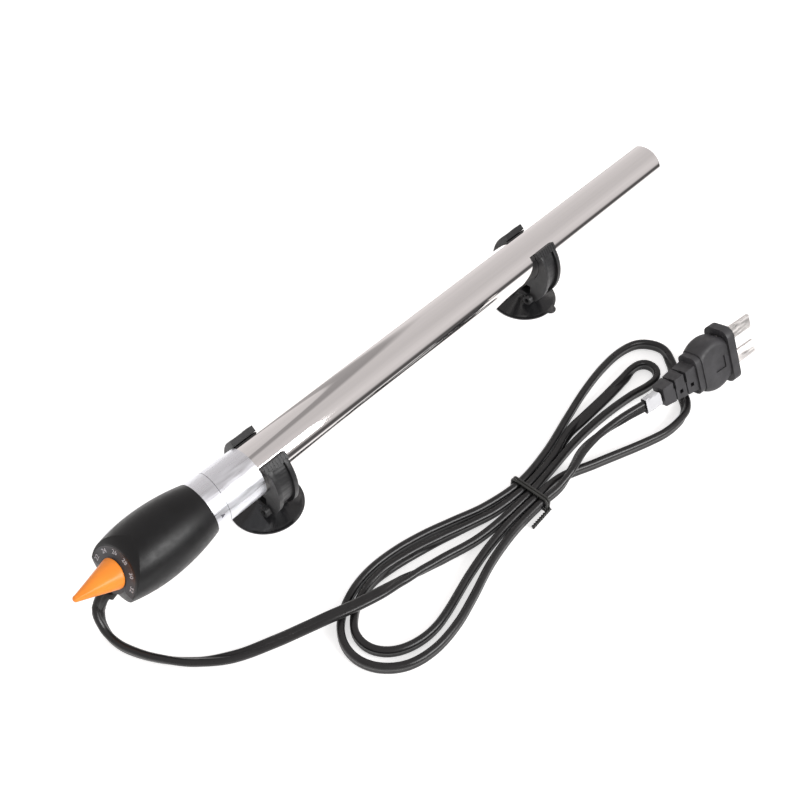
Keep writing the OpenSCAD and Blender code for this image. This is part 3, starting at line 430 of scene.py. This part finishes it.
def build_floor():
    """Pale paper that stays white to the camera but keeps the object's shadow."""
    corners = [(-FLOOR_HALF, -FLOOR_HALF), (FLOOR_HALF, -FLOOR_HALF), (FLOOR_HALF, FLOOR_HALF),
               (-FLOOR_HALF, FLOOR_HALF)]
    mesh = bpy.data.meshes.new("floor")
    mesh.from_pydata([(x, y, FLOOR_Z) for x, y in corners], [], [(0, 1, 2, 3)])
    floor = bpy.data.objects.new("floor", mesh)
    SCENE.collection.objects.link(floor)
    made = bpy.data.materials.new("floor_paper")
    made.use_nodes = True
    made.node_tree.nodes.remove(made.node_tree.nodes["Principled BSDF"])
    paper = add_node(made, "ShaderNodeBsdfDiffuse", Color=(0.80, 0.785, 0.78, 1))
    path = add_node(made, "ShaderNodeLightPath").outputs
    direct = chain(made, "ShaderNodeMath", path["Is Camera Ray"], path["Is Transmission Ray"],
                   operation="MAXIMUM")
    either = chain(made, "ShaderNodeMath", direct.outputs[0], path["Is Glossy Ray"], operation="MAXIMUM")
    lift = chain(made, "ShaderNodeMath", either.outputs[0], FLOOR_LIFT, operation="MULTIPLY")
    glow = add_node(made, "ShaderNodeEmission", Color=(1, 1, 1, 1), Strength=lift.outputs[0])
    lit = chain(made, "ShaderNodeAddShader", paper.outputs[0], glow.outputs[0])
    place = add_node(made, "ShaderNodeTexCoord").outputs["Object"]
    across = chain(made, "ShaderNodeSeparateXYZ", place)
    end = add_node(made, "ShaderNodeMapRange", Value=across.outputs["Y"], From_Min=GLOSS_END_START,
                   From_Max=GLOSS_END_STOP)
    ended = chain(made, "ShaderNodeMath", end.outputs["Result"], path["Is Glossy Ray"],
                  operation="MULTIPLY")
    room = add_node(made, "ShaderNodeEmission", Color=(0.10, 0.097, 0.097, 1), Strength=1.0)
    seen = chain(made, "ShaderNodeMixShader", ended.outputs[0], lit.outputs[0], room.outputs[0])
    link_surface(made, "Material Output", seen)
    mesh.materials.append(made)


build_floor()

# ---- Cord ----

CORD_W = 5 * MM
CORD_T = 3 * MM

# Route of the cord's middle: mm from the point on the ground under the head's rim, and the lean of
# its width about its own direction, in degrees: 0 lies flat and 90 stands on edge.
CORD_ROUTE = [
    (-43.4, 1.7, 17.9, 0), (-45.9, 2.1, 15.7, 20), (-48.3, 1.9, 11, 50), (-49.8, -1, 6.4, 70),
    (-50.1, -6, 3.6, 80), (-48.6, -13, 2.6, 80), (-43.5, -24, 2.6, 70), (-35, -35, 2.3, 45),
    (-24, -43.2, 1.8, 10), (-10, -50, 2.8, 0), (-1, -54.6, 5, 0), (8, -58.8, 6.8, 0), (17, -62.2, 7, 0),
    (27, -65, 6.5, 0), (38, -66.4, 4.2, 30), (49, -68.6, 2.7, 75), (58, -71, 2.6, 90),
    (72, -74.6, 2.6, 90), (86, -76, 3, 90), (103, -76.3, 3.9, 90), (120, -74.6, 3, 90),
    (136, -73, 2.6, 90), (150, -72.8, 2.6, 90), (163, -73.6, 2.6, 90), (175, -75.2, 2.6, 90),
    (184, -77.2, 2.6, 90), (190.4, -77.2, 2.6, 90), (194.6, -73.8, 2.6, 90), (194.4, -69, 2.6, 90),
    (190, -66.4, 2.6, 90), (181, -66.8, 2.4, 50), (168, -67.2, 1.9, 15), (152, -67.4, 1.9, 15),
    (140, -67.8, 2.4, 60), (124, -71.2, 2.8, 90), (103, -73.2, 3.9, 90), (88, -71.6, 3, 90),
    (76, -68, 2.6, 90),
    (64, -64.2, 2.6, 80), (52, -60.8, 2.5, 60), (40, -58.4, 2.5, 60), (32, -58, 2.6, 80),
    (24, -59.4, 2.6, 90), (17, -62.8, 2.6, 90), (11.2, -69, 2.6, 90), (10.6, -77, 2.6, 90),
    (15.6, -84, 2.6, 90), (25, -88, 2.6, 90), (36, -88.2, 2.6, 90), (58, -83, 2.6, 90),
    (72, -80.4, 2.6, 90), (86, -79.2, 3, 90), (103, -79.5, 3.9, 90), (118, -80, 2.8, 90),
    (134, -86, 2.6, 90), (164, -97, 2.6, 90), (176, -98.4, 2.6, 90), (184, -96.6, 2.6, 60),
    (190.6, -90.8, 2, 12), (196.4, -83.6, 2.2, 15), (203, -76.4, 2.6, 60), (207.4, -68.6, 2.6, 90),
    (203.4, -60, 2.6, 90), (194, -56.4, 2.6, 90), (180, -56.2, 2.6, 90), (163, -58.6, 2.6, 90),
    (146, -62.4, 2.6, 90), (124, -67.6, 2.8, 90), (103, -70.1, 3.9, 90), (86, -67, 3, 90),
    (72, -62, 2.6, 90), (60, -58, 2.6, 90), (47, -55, 2.6, 90), (34, -54, 2.6, 90),
    (22.6, -55.8, 2.6, 90), (12, -60.8, 2.6, 90), (5.8, -68, 2.6, 90), (4.2, -76.4, 2.6, 90),
    (7.4, -84.8, 2.6, 90), (15, -91.4, 2.6, 90), (26, -94.2, 2.6, 90), (39, -93.4, 2.6, 90),
    (52, -90.2, 2.6, 90), (66, -86, 2.6, 90), (77, -83.8, 2.7, 90), (88, -82.6, 3, 90),
    (103, -82.6, 3.9, 90), (112, -83.8, 5.8, 90), (121, -83, 8.7, 60), (132, -80.5, 8.8, 45),
    (145.4, -80.8, 9, 70), (158, -83.3, 9.9, 100), (166.5, -85.7, 10.7, 114), (175.2, -87.5, 11.4, 114)]

GLAND_PITCH = math.radians(36)
GLAND_WAY = Vector((-math.cos(GLAND_PITCH), math.sin(GLAND_PITCH) * math.sin(HEAD_ROLL),
                    -math.sin(GLAND_PITCH) * math.cos(HEAD_ROLL)))
PLUG_WAY = (AT_PLUG.to_3x3() @ X_AXIS).normalized()


def cord_line(step=1.6 * MM):
    """The cord's middle as close points: (place, direction, lean), smooth through the route."""
    places = [RIM + Vector(row[:3]) * MM for row in CORD_ROUTE]
    leans = [math.radians(row[3]) for row in CORD_ROUTE]
    last = len(places) - 1
    ways = [GLAND_WAY if i == 0 else PLUG_WAY if i == last
            else (places[i + 1] - places[i - 1]).normalized() for i in range(last + 1)]
    line = []
    for i in range(last):
        span = (places[i + 1] - places[i]).length
        count = max(2, round(span / step))
        for k in range(count + (1 if i == last - 1 else 0)):
            t = k / count
            # Weights of a cubic that passes both points in their directions.
            a, b = 2 * t**3 - 3 * t**2 + 1, t**3 - 2 * t**2 + t
            c, d = -2 * t**3 + 3 * t**2, t**3 - t**2
            place = a * places[i] + c * places[i + 1] + span * (b * ways[i] + d * ways[i + 1])
            way = ((6 * t**2 - 6 * t) * (places[i] - places[i + 1])
                   + span * ((3 * t**2 - 4 * t + 1) * ways[i] + (3 * t**2 - 2 * t) * ways[i + 1]))
            turn = leans[i] + (leans[i + 1] - leans[i]) * (3 * t**2 - 2 * t**3)
            line.append((place, way.normalized(), turn))
    return line


def cord_profile():
    """Outline of the flat two-core cord: two round cores with a shallow groove between them."""
    core_r, core_x, groove, steps = CORD_T / 2, (CORD_W - CORD_T) / 2, 0.35 * MM, 18
    right = arc((core_x, 0), core_r, -100, 100, steps)
    left = arc((-core_x, 0), core_r, 80, 280, steps)
    return right + [(0, core_r - groove)] + left + [(0, groove - core_r)]


def cross_frame(way, lean):
    """Directions across the cord: along its width and along its thickness."""
    side = way.cross(Z_AXIS).normalized()
    up = side.cross(way)
    wide = math.cos(lean) * side + math.sin(lean) * up
    thick = math.cos(lean) * up - math.sin(lean) * side
    return wide, thick


def build_cord():
    """The flex with the points of its middle line."""
    profile = cord_profile()
    line = cord_line()
    rings = []
    for place, way, lean in line:
        wide, thick = cross_frame(way, lean)
        rings.append([place + wide * u + thick * v for u, v in profile])
    flex = add_piece("cord_flex", *stack(rings), CORD_RUBBER, "heater", "cord_rubber", sharp=50)
    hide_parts("power_cord")
    return flex, [place for place, way, lean in line]


cord_flex, cord_path = build_cord()

# ---- Tube and label ----

TUBE_WALL = 0.6 * MM
TUBE_END_R = 1.6 * MM


def build_tube():
    """The polished tube, open inside the head and rounded at its closed end."""
    low, high = -TUBE_INSERT, TUBE_LEN
    inner_r = TUBE_R - TUBE_WALL
    outside = arc((high - TUBE_END_R, TUBE_R - TUBE_END_R), TUBE_END_R, 90, 0, 8)
    inside = arc((high - TUBE_END_R, TUBE_R - TUBE_END_R), TUBE_END_R - TUBE_WALL, 0, 90, 8)
    profile = ([(inner_r, low), (TUBE_R, low)] + [(r, z) for z, r in outside]
               + [(POLE_R, high), (POLE_R, high - TUBE_WALL)] + [(r, z) for z, r in inside])
    skin = lathe(profile, 180, closed=True)
    tube = add_piece("tube_shell", *skin, POLISHED_STEEL, "heater", "polished_steel", ALONG_TUBE)
    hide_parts("outer_tube")


# The ink lies between these heights over the tube. The triangle's flat top is raised a little more.
INK_LOW, INK_HIGH, MARK_LIFT = 0.145 * MM, 0.17 * MM, 0.06 * MM
# Place of the line along the tube from the rim, how far it runs askew, and its width.
LINE_X, LINE_SKEW, LINE_W = 7.2 * MM, 0.9 * MM, 0.26 * MM
# Place of the triangle along the tube and round it, and its corners in mm along and round.
MARK_X, MARK_TURN = 3.4 * MM, math.radians(-103)
MARK_CORNERS = [(-0.9, -0.8), (0.9, 0), (-0.9, 0.8)]


def build_label_marks():
    """A thin dark line round the bare label and a small triangle beside it."""
    low_r, high_r, steps = TUBE_R + INK_LOW, TUBE_R + INK_HIGH, 120
    rings = []
    for i in range(steps):
        a = 2 * math.pi * i / steps
        x = LINE_X + LINE_SKEW * math.sin(a)
        rings.append([(r * math.cos(a), r * math.sin(a), z)
                      for r, z in ((low_r, x), (high_r, x), (high_r, x + LINE_W), (low_r, x + LINE_W))])
    add_piece("label_line", *loop(rings), LABEL_INK, "heater", "label_film", ALONG_TUBE)
    rings = []
    for r in (low_r, high_r + MARK_LIFT):
        turns = [(x, MARK_TURN + turn * MM / TUBE_R) for x, turn in MARK_CORNERS]
        rings.append([(r * math.cos(a), r * math.sin(a), MARK_X + x * MM) for x, a in turns])
    add_piece("label_mark", *stack(rings), LABEL_INK, "heater", "label_film", ALONG_TUBE)


build_tube()
build_label_marks()

# ---- Dial and knob ----

DIAL_R = 11.2 * MM
DIAL_HUB_R = 6.6 * MM
DIAL_HUB_H = 0.3 * MM
DIAL_HOLLOW = 0.45 * MM
KNOB_GAP = 0.3 * MM


def dial_height(radius):
    """Height of the dial's hollow band above its rim at this radius."""
    t = (DIAL_R - radius) / (DIAL_R - DIAL_HUB_R)
    return t * DIAL_HUB_H - 4 * DIAL_HOLLOW * t * (1 - t)


def build_numbers():
    """Degrees round the knob, tops outward, bent to the dial's hollow band."""
    middle_r, first, step, size = 9.35 * MM, 88, -33.6, 2.5 * MM
    ink, lift = 0.03 * MM, 0.035 * MM
    parts = []
    for i in range(6):
        text = bpy.data.curves.new("number", "FONT")
        text.body = str(22 + 2 * i)
        text.size = size
        text.extrude = ink
        text.resolution_u = 3
        text.align_x = "CENTER"
        text.align_y = "CENTER"
        flat = bpy.data.meshes.new_from_object(bpy.data.objects.new("number", text))
        turn = Matrix.Rotation(math.radians(first + step * i - 90), 4, "Z")
        points = []
        for vertex in flat.vertices:
            point = turn @ (vertex.co + Vector((0, middle_r, 0)))
            point.z += dial_height(point.xy.length) + lift
            points.append(point)
        parts.append((points, [tuple(face.vertices) for face in flat.polygons]))
    add_piece("dial_numbers", *join(parts), NUMBER_INK, "heater", "dial_plastic", AT_FACE)


def build_knob():
    """The pointer knob: a slanted beak on a foot that reaches further up the dial than down."""
    base_r, flat, tip_r, length = 7.4 * MM, 3.5 * MM, 1.3 * MM, 18 * MM
    rim_h, tip_drop, tip_shift = 0.5 * MM, 1.4 * MM, 1 * MM
    foot_r, foot_centre = 6.2 * MM, Vector((2.4, -0.4)) * MM
    foot_z, foot_bevel, foot_blend = DIAL_HUB_H + KNOB_GAP, 0.25 * MM, 12
    ridge_h, ridge_turn, ridge_spread = 0.2 * MM, math.radians(-35), 0.12
    span = length - tip_r - foot_z - rim_h
    sides, rows = 96, 44

    def foot_reach(a):
        """Distance from the knob's axis to the foot's edge in this direction."""
        along = foot_centre.dot(Vector((math.cos(a), math.sin(a))))
        reach = along + math.sqrt(foot_r ** 2 - foot_centre.length_squared + along ** 2)
        return (reach ** -foot_blend + base_r ** -foot_blend) ** (-1 / foot_blend)

    def ring(t, z, inset=0.0, end_r=tip_r):
        """Outline at the share t of the way from the foot to the tip."""
        row = []
        for k in range(sides):
            a = 2 * math.pi * k / sides
            beside = math.sin((a - ridge_turn) / 2) / ridge_spread
            ridge = ridge_h * min(1, 8 * t) * math.exp(-beside ** 2)
            r = (1 - t) * (foot_reach(a) - inset) + t * end_r + ridge
            row.append((max(r * math.cos(a) - t * tip_drop, -flat), r * math.sin(a) - t * tip_shift, z))
        return row

    rings = [ring(0, foot_z, foot_bevel), ring(0, foot_z + foot_bevel)]
    rings += [ring(j / rows, foot_z + rim_h + j / rows * span) for j in range(rows + 1)]
    for a in range(10, 90, 10):
        a = math.radians(a)
        rings.append(ring(1, length - tip_r * (1 - math.sin(a)), end_r=tip_r * math.cos(a)))
    knob = add_piece("knob_pointer", *stack(rings), KNOB_PLASTIC, "knob", "knob_plastic", AT_FACE, 50)
    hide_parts("control_knob")


build_numbers()
build_knob()

# ---- Clips and suction cups ----

CUP_R = 15.4 * MM
PLATE_TOP = 9.6 * MM
CLIP_NEAR_X = RIM.x + 30.3 * MM
CLIP_SPACING = 164 * MM


def round_edges(node, width, segments=2):
    """Rounds the sharp edges of a piece of the CAD model."""
    weld = node.modifiers.new("weld", "WELD")
    weld.merge_threshold = 0.002 * MM
    bevel = node.modifiers.new("round", "BEVEL")
    bevel.width = width
    bevel.segments = segments
    bevel.limit_method = "ANGLE"
    bevel.angle_limit = math.radians(EDGE_ANGLE)
    bevel.harden_normals = True


def build_cup(name, node, body, place_x, tab_turn):
    """A suction cup: a thin dished skirt with a bead at its rim, a hub, a peg and a pull tab."""
    hub_r, peg_r, barb_r, seat = 4.0 * MM, 2.4 * MM, 3.4 * MM, PLATE_TOP + 0.1 * MM
    skirt_r, skirt_z, skirt_top_r, skirt_top_z = CUP_R - 1.3 * MM, 1.0 * MM, 4.6 * MM, 4.95 * MM
    skirt_sag, rows = 0.35 * MM, 12
    rim = [(CUP_R - 0.7 * MM, 0), (CUP_R - 0.15 * MM, 0.05 * MM), (CUP_R, 0.4 * MM),
           (CUP_R - 0.15 * MM, 0.8 * MM), (CUP_R - 0.6 * MM, 0.9 * MM), (CUP_R - 1.0 * MM, 0.85 * MM)]
    skirt = []
    for i in range(rows + 1):
        t = i / rows
        sag = skirt_sag * math.sin(math.pi * t)
        skirt.append(((1 - t) * skirt_r + t * skirt_top_r, (1 - t) * skirt_z + t * skirt_top_z - sag))
    hub = [(4.15 * MM, 5.4 * MM), (hub_r, 6.0 * MM), (hub_r, 6.8 * MM), (3.8 * MM, 7.0 * MM)]
    peg = [(peg_r, 7.0 * MM), (peg_r, seat), (3.3 * MM, seat), (barb_r, seat + 0.1 * MM),
           (barb_r, seat + 2.2 * MM), (peg_r, seat + 3.2 * MM), (POLE_R, seat + 3.2 * MM)]
    hollow = [(POLE_R, 3.4 * MM), (3.0 * MM, 3.4 * MM), (CUP_R - 1.2 * MM, 0)]
    cup = lathe(hollow + rim + skirt + hub + peg, 96)
    reach, half_w, thick = CUP_R + 1.9 * MM, 2.7 * MM, 0.9 * MM
    outline = ([(CUP_R - 5.4 * MM, -half_w)] + arc((reach - half_w, 0), half_w, -90, 90, 16)
               + [(CUP_R - 5.4 * MM, half_w)])
    inner = [(x - (0.15 * MM if x > CUP_R - 5 * MM else 0), y * 0.95) for x, y in outline]
    tab = stack([[(x, y, z) for x, y in ring] for ring, z in
                 ((inner, 0), (outline, 0.12 * MM), (outline, thick - 0.15 * MM), (inner, thick))])
    place = Matrix.Translation((place_x, 0, 0)) @ Matrix.Rotation(math.radians(tab_turn), 4, "Z")
    piece = add_piece(name, *join([cup, tab]), CUP_RUBBER, body, "cup_rubber", place, 40)
    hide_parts(node)


build_cup("near_suction_cup", "cup_near", "near_cup", CLIP_NEAR_X, tab_turn=90)
build_cup("far_suction_cup", "cup_far", "far_cup", CLIP_NEAR_X + CLIP_SPACING, tab_turn=-82)
for node_name in ("clip_near", "clip_far"):
    round_edges(NODES[node_name], 0.3 * MM)
for node_name in ("plug_body", "strain_relief"):
    round_edges(NODES[node_name], 0.45 * MM, 3)
round_edges(NODES["plug_blades"], 0.25 * MM)
round_edges(NODES["cord_gland"], 0.3 * MM)

# ---- Tie and paper tag ----


def build_tie():
    """Two turns of dark wire round the bundle, ending in a twisted tail on the ground."""
    half_y, half_z, corner_r = 8.8 * MM, 3.2 * MM, 1.6 * MM
    wire_r, wave = 0.52 * MM, 0.15 * MM
    tail_wire_r, tail_r, twists, steps = 0.45 * MM, 0.42 * MM, 4.75, 60
    centre = RIM + Vector((103, -76.35, 3.9)) * MM
    parts = []
    for x in (-0.62 * MM, 0.62 * MM):
        path = [centre + Vector((x + wave * math.sin(40 * (y + z) / MM / 10), y, z))
                for y, z in rounded_rect(2 * half_y, 2 * half_z, corner_r)]
        parts.append(sweep(path, wire_r, closed=True))
    start = centre + Vector((0.9 * MM, -half_y - 0.75 * MM, -1.9 * MM))
    end = centre + Vector((-10.6 * MM, -half_y - 1.15 * MM, -2.85 * MM))
    for side in (0, math.pi):
        path = []
        for i in range(steps + 1):
            a = side + 2 * twists * math.pi * i / steps
            spiral = Vector((0, math.cos(a), math.sin(a))) * tail_r
            path.append(start.lerp(end, i / steps) + spiral)
        parts.append(sweep(path, tail_wire_r, 8))
    tie = add_piece("tie_wire", *join(parts), TIE_PLASTIC, "heater", "tie_plastic", sharp=60)
    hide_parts("cord_tie")
    return tie


def build_tag():
    """A sleeve of crumpled paper round the cord, behind the strain relief."""
    chance = random.Random(11)
    length, gap, paper, rows = 7.5 * MM, 1.2 * MM, 0.16 * MM, 12
    dent_mm, slant_end = 0.22, 0.5 * MM
    outline = rounded_rect(4.3 * MM, 6.4 * MM, 1.1 * MM, 7)
    dents = [[chance.uniform(-dent_mm, dent_mm) * MM for _ in outline] for _ in range(rows)]
    outer, inner = [], []
    for j in range(rows):
        x = -gap - length + length * j / (rows - 1)
        ring = []
        for i, (y, z) in enumerate(outline):
            dent = (dents[j][i] + dents[j][i - 1] + dents[j - 1][i]) / 2
            slant = slant_end * math.sin(5 * i / len(outline)) if j in (0, rows - 1) else 0
            outward = Vector((0, y, z)).normalized()
            ring.append(Vector((x - slant * (1 if j else -1), y, z)) + outward * dent)
        outer.append(ring)
        inner.append([p - Vector((0, p.y, p.z)).normalized() * paper for p in ring])
    skin = loop(outer + inner[::-1])
    tag = add_piece("tag_sleeve", *skin, TAG_PAPER, "heater", "tag_paper", AT_PLUG, 20)
    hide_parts("cord_tag")
    return tag


build_tie()
build_tag()

SCENE.view_settings.view_transform = "Standard"
